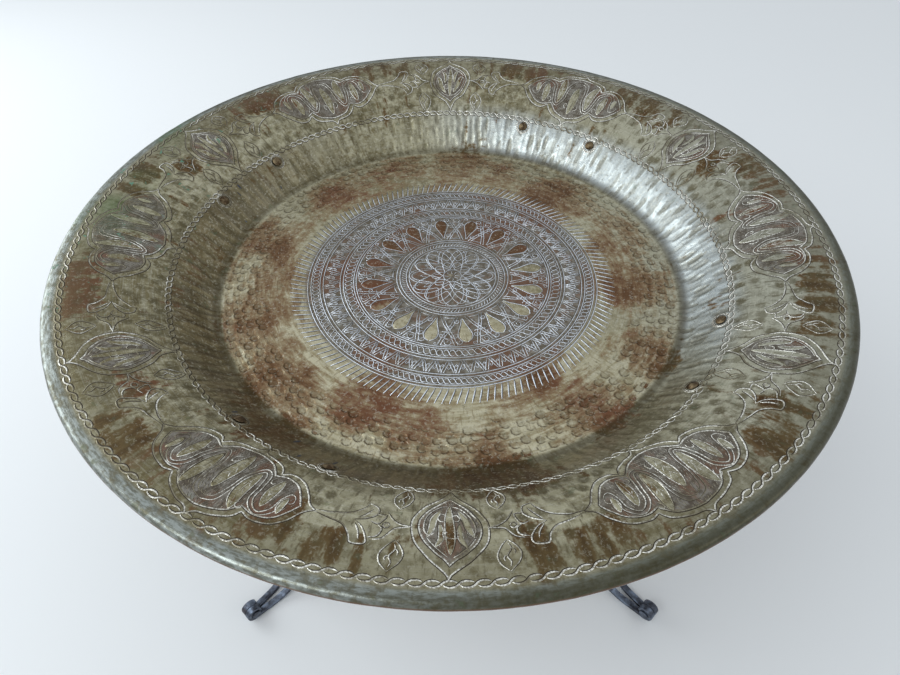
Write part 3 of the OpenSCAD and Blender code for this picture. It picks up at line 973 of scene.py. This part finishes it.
medallion_work = [
    engraved(ring_line(radius, 320), fine_w, closed=True)
    for radius in (181, 177, 166, 162, 141, 137, 124, 121, 70, 66, 58)]
ray = [(182, 1.4), (188, -0.4), (195, -2.8), (203, -5.6)]
medallion_work += [
    engraved(around(ray, 157), 2.5*mm, taper=0.6),
    engraved(rope(171.5, 3.9, 168, -1, 9), fine_w),
    engraved(rope(130.5, 4.6, 112, -1, 9), fine_w)]
chevrons = 60
cell = tau/chevrons
for shift in (-1.7, 1.7):
    medallion_work += [
        engraved(around([(142.5, shift - 3.4), (151.5, shift), (160.5, shift + 3.4)], chevrons),
                 1.6*mm, taper=0.3),
        engraved(around([(142.5, shift + 3.4), (151.5, shift), (160.5, shift - 3.4)], chevrons,
                        cell/2), 1.6*mm, taper=0.3)]
hook = np.array([(0, 2.0), (5.0, 2.2), (9.0, 1.6), (11.0, -0.4), (9.4, -2.2), (7.4, -1.2),
                 (8.4, 0.2)])
medallion_work += [
    engraved(around(hook + [144.5, 0], chevrons, cell*0.75), 1.5*mm, taper=0.5),
    engraved(around(hook*[-1, -1] + [158.8, 0], chevrons, cell*0.25), 1.5*mm, taper=0.5)]

drops = 16
drop_turn = math.radians(8.5 - 90)
knot_turn = drop_turn + tau/drops/2
s = np.linspace(0, 1, 15)
drop_middle = np.stack([76 + 39*s, 0*s], -1)
drop_half = 8.6*np.sin(math.pi*s**1.9)**0.7*(0.3 + 0.7*s)**0.4 + 0.15
drop_sides = [np.stack([76 + 39*s, side*(drop_half + 0.6)], -1) for side in (1, -1)]
knot_work = [engraved(around(side, drops, drop_turn), 1.7*mm, taper=0.2) for side in drop_sides]
for shift in (-1.8, 1.8):
    for lean in (1, -1):
        knot_work.append(engraved(around(
            [(73, -lean*9 + shift), (87, -lean*4 + shift), (103, lean*4 + shift),
             (119, lean*10 + shift)], drops, knot_turn), 1.5*mm, taper=0.3))
for radius, sideways, size in ((90, 0, 0.75), (104, 7.5, 0.8), (104, -7.5, 0.8), (114, 0, 0.9),
                               (114, 14, 0.7), (81, 9, 0.6), (117, -14, 0.6)):
    curl = np.array([(-4, -3), (0, -5), (4, -3), (5, 1), (2, 4), (-2, 3), (-2, -0.5), (1, -1)])*size
    flip = 1 if sideways >= 0 else -1
    knot_work.append(engraved(
        around(curl*[1, flip] + [radius, sideways], drops, knot_turn), 1.5*mm, taper=0.5))
for radius, half in ((98, 8), (109, 5), (75, 6), (119, 9)):
    knot_work.append(engraved(
        around([(radius, -half), (radius, 0), (radius, half)], drops, knot_turn), 1.5*mm,
        taper=0.3))
knot_work.append(engraved(around([(59.5, 1.8), (62, 0.4), (64.8, -1.8)], 92), 1.5*mm, taper=0.3))
turned = np.arange(300)*tau/300
for lobes, middle, swing, share in (
        (4, 35, 19, 0), (4, 35, 19, 1/3), (4, 35, 19, 2/3), (7, 40, 11, 0), (7, 40, 11, 0.5),
        (5, 19, 7, 0), (5, 19, 7, 0.5)):
    loop_r = middle + swing*np.cos(lobes*turned + tau*share)
    loops = np.stack([loop_r*np.cos(turned), loop_r*np.sin(turned)], -1)[None]*mm
    knot_work.append(engraved(loops, 1.5*mm, closed=True))
for radius in (54.5, 11):
    knot_work.append(engraved(ring_line(radius, 160), 1.5*mm, closed=True))
knot_work += [
    engraved(around([(26, 0), (31, 2.4), (36, 2.0), (41, 0)], 12), 1.3*mm),
    engraved(around([(26, 0), (31, -2.4), (36, -2.0), (41, 0)], 12), 1.3*mm),
    engraved(around([(45, 0), (49, 2.0), (53, 0)], 24, cell), 1.3*mm),
    engraved(around([(3, 0), (7, 1.6), (10, 0)], 8), 1.3*mm)]
# Bluish white painted highlight and dark painted shadow on the medallion's lines.
silver_cut = cut_finish("medallion_cut", tone(240, 244, 250), tone(52, 44, 38), 0.26, dulled=0.45)
chased_piece("medallion_rings", medallion_work, silver_cut)
chased_piece("medallion_knots", knot_work, silver_cut)
drop_work = engraved(around(drop_middle, drops, drop_turn), drop_half*mm, taper=0,
                     band=leaf_section, proud=1.2)
drops_piece = chased_piece("medallion_drops", [drop_work], tinned("drop_tin", chased=0.0))
at_front = smooth(-0.02, 0.06, 0.5*drop_work[0][:, 0] - drop_work[0][:, 1])
mark_points(drops_piece.data, "worn", 1.6 - 2.2*at_front)

# ---------------------------------------------------------------------------------------------
# The tray's rivets: eight, in pairs, with low hand-hammered heads gone brown, each in a chased ring.
# They hold the four iron cleats under the rim. The wire that the edge is rolled round is iron too.
pair_ways = np.radians([-120, -30, 60, 150])
rivet_ways = np.concatenate([pair_ways - math.radians(9.7), pair_ways + math.radians(9.7)])
rivet_r = 322.4
t = np.linspace(0, tau, 40, endpoint=False)
ring_work = []
for radius in (8.4, 10.0):
    plan = np.stack([rivet_r + radius*math.cos(math.radians(41))*np.cos(t), radius*np.sin(t)], -1)*mm
    spin = rivet_ways[:, None]
    x = plan[None, :, 0]*np.cos(spin) - plan[None, :, 1]*np.sin(spin)
    y = plan[None, :, 0]*np.sin(spin) + plan[None, :, 1]*np.cos(spin)
    ring_work.append(chased(np.stack([x, y], -1), 1.6*mm, closed=True))
chased_piece("rivet_rings", ring_work, bright_cut)

# Forged iron: black scale, a little brown rust, and bluish bright spots where it is rubbed.
iron, into, out = finish_group("forged_scale", {"Rust": 0.5, "Rubbed": 0.5})
place = add(iron, "TexCoord").outputs["Object"]
dents = noise(place, 75, 3, 0.55)
scale = noise(place, 420, 4, 0.65)
patch = noise(place, 28, 4, 0.6)
rust = rise(into["Rust"]*0.22 + patch*0.6 + scale*0.4, 0.58, 0.72)
bright = rise(into["Rubbed"]*0.20 + dents, 0.56, 0.84)
colour = blend(rise(scale, 0.30, 0.70), tone(60, 62, 68), tone(88, 91, 100))
colour = blend(bright*(into["Rubbed"]*0.8 + 0.1), colour, tone(142, 154, 172))
colour = blend(rust*0.55, colour, tone(92, 64, 46))
link(colour, out["Colour"])
link(rust*0.25 + scale*0.3 + 0.30, out["Roughness"])
link(rust*-0.7 + 0.95, out["Metallic"])
link(dents + scale*0.35, out["Height"])


def forged(name, rust, rubbed, distance):
    """A forged iron finish."""
    return group_finish(name, iron, {"Rust": rust, "Rubbed": rubbed}, 0.9, distance)


def finish_node(node, finish):
    """Gives a CAD node a finish."""
    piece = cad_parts[node]
    for spot in piece.material_slots:
        spot.material = finish
    if not piece.material_slots:
        piece.data.materials.append(finish)


# Copper rivet heads are brown and dull in the middle, and rubbed by polishing.
brown_rivet, tree, shader = new_material("brown_rivet")
place = add(tree, "TexCoord").outputs["Object"]
patch = noise(place, 190, 3, 0.6)
colour = blend(rise(patch, 0.40, 0.62), tone(74, 60, 46), tone(124, 108, 84))
link(colour, shader.inputs["Base Color"])
link(patch*0.4 + 0.22, shader.inputs["Roughness"])
link(1.0, shader.inputs["Metallic"])
raised(shader, noise(place, 900, 2, 0.5)*0.3 + patch, 0.9, 0.5*mm)
finish_node("tray_rivets", brown_rivet)
finish_node("rim_wire", forged("rim_wire_iron", 0.9, 0.1, 0.3*mm))

# ---------------------------------------------------------------------------------------------
# The stand's two hoops, bent from flat bar and forge-welded, the four cleats under the tray, and
# the rivets and eye pins that hold the stand together. All are black forged iron.
hoop_iron = forged("hoop_iron", 0.2, 0.25, 0.8*mm)
small_iron = forged("rivet_iron", 0.1, 0.8, 0.4*mm)
for node in ("top_hoop", "tie_hoop", "front_cleat", "right_cleat", "back_cleat", "left_cleat"):
    finish_node(node, hoop_iron)
for node in ("bar_rivets", "tie_rivets", "foot_pins"):
    finish_node(node, small_iron)

# ---------------------------------------------------------------------------------------------
# The eight leg bars, two to a leg, forged from one size of bar. Each is scrolled into an eye at
# the floor, runs in flat, turns up in a round bend and leans to its rivet on the top hoop.
hoop_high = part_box("top_hoop")[1]
bar_w = 9*mm
bar_t = 6*mm
bar_r = hoop_high[0] + bar_t/2
bar_top = hoop_high[2] - 3*mm
foot_r = 390*mm
bend_r = 55*mm
scroll_r = 11*mm
scroll_z = scroll_r + bar_t/2
bend_mid_r = bar_r + bend_r
bend_mid_z = bend_r + bar_t/2
flat_run = foot_r - bend_mid_r
bend_run = bend_r*math.pi/2
whole_run = flat_run + bend_run + bar_top - bend_mid_z
foot_offset = (bar_w + 0.3*mm)/2
top_offset = bar_r*math.sin(math.radians(9.25))


def bar_line():
    """A bar's middle line as radius, height, the way its outer face looks, and its distance from
    the middle of its leg: scroll, flat, round bend, then upright."""
    u = np.linspace(0, 1, 50)
    face = np.radians(185 - 275*u)
    wound = scroll_r - 4.7*mm*(1 - u)
    scroll = np.stack([foot_r + wound*np.cos(face), scroll_z + wound*np.sin(face),
                       np.cos(face), np.sin(face), 0*u - 1], -1)
    u = np.linspace(0.04, 0.96, 10)
    flat = np.stack([foot_r - flat_run*u, 0*u + bar_t/2, 0*u, 0*u - 1, flat_run*u], -1)
    u = np.linspace(0, 1, 24)
    face = -math.pi/2 - u*math.pi/2
    bend = np.stack([bend_mid_r + bend_r*np.cos(face), bend_mid_z + bend_r*np.sin(face),
                     np.cos(face), np.sin(face), flat_run + bend_run*u], -1)
    u = np.linspace(0.01, 1, 90)
    rise_by = (bar_top - bend_mid_z)*u
    upright = np.stack([bar_r + 0*u, bend_mid_z + rise_by, 0*u - 1, 0*u,
                        flat_run + bend_run + rise_by], -1)
    line = np.concatenate([scroll, flat, bend, upright])
    leaning = (top_offset - foot_offset)*(np.clip(line[:, 4], 0, None)/whole_run)**1.1
    return line, foot_offset + leaning


def bar_section(corner):
    """Section points of a bar, out through its thickness and across its width: a rectangle whose
    four corners are rounded, three points to a corner."""
    turn = np.radians([0, 45, 90])
    spots = []
    for start, t_mid, w_mid in ((0, 1, 1), (90, -1, 1), (180, -1, -1), (270, 1, -1)):
        a = turn + math.radians(start)
        spots.append(np.stack([t_mid*(bar_t/2 - corner) + corner*np.cos(a),
                               w_mid*(bar_w/2 - corner) + corner*np.sin(a)], -1))
    return np.concatenate(spots)


def leg_bar(name, leg_way, hand, seed):
    """A bar swept along its line. The hammer has left flats and hollows on its faces, so its section
    draws in a little here and there, never beyond its full size."""
    line, offset = bar_line()
    section_at = bar_section(1.1*mm)
    k = len(section_at)
    run = np.cumsum(np.concatenate([[0], np.linalg.norm(np.diff(line[:, :2], axis=0), axis=1)]))
    blows = 0.5 + 0.5*np.sin(run/(5.3*mm) + 2.1*np.sin(run/(11*mm) + seed) + seed)
    sides = 0.5 + 0.5*np.sin(run/(7.1*mm) + 1.7*np.sin(run/(17*mm) + 2*seed) + 3*seed)
    on_floor = (line[:, 3] < -0.99)[:, None]
    out_of = section_at[None, :, 0]*(1 - 0.09*blows[:, None])
    out_of = np.where(on_floor & (section_at[None, :, 0] > 0), section_at[None, :, 0], out_of)
    across = section_at[None, :, 1]*(1 - 0.05*sides[:, None])
    radius = line[:, 0, None] + line[:, 2, None]*out_of
    height = line[:, 1, None] + line[:, 3, None]*out_of
    turn = np.arcsin(offset/line[:, 0])[:, None]
    x = radius*np.cos(turn) - across*np.sin(turn)
    y = (radius*np.sin(turn) + across*np.cos(turn))*hand
    points = np.stack([x*math.cos(leg_way) - y*math.sin(leg_way),
                       x*math.sin(leg_way) + y*math.cos(leg_way), height], -1)
    n = len(line)
    i = np.arange(n - 1)[:, None]
    j = np.arange(k)[None, :]
    over = (j + 1) % k
    quads = np.stack([i*k + j, i*k + over, (i + 1)*k + over, (i + 1)*k + j], -1).reshape(-1, 4)
    first = np.arange(k)[None, ::-1]
    last = np.arange(k)[None, :] + (n - 1)*k
    faces = [quads, first, last]
    if hand > 0:
        faces = [block[:, ::-1] for block in faces]
    piece = fill_mesh(name, points.reshape(-1, 3), faces)
    piece.data.materials.append(bar_iron)
    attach(piece, "stand")
    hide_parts(name.replace("forged_", ""))


bar_iron = forged("bar_iron", 0.1, 0.8, 0.6*mm)
for number, leg in enumerate(("front_left", "front_right", "back_right", "back_left")):
    way = math.radians(-135 + 90*number)
    for side, hand in (("left", -1), ("right", 1)):
        leg_bar("forged_" + leg + "_leg_" + side + "_bar", way, hand, 1.7*number + hand)

size = {"cad": [list(corner) for corner in cad_box],
        "visual": [list(corner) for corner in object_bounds()]}
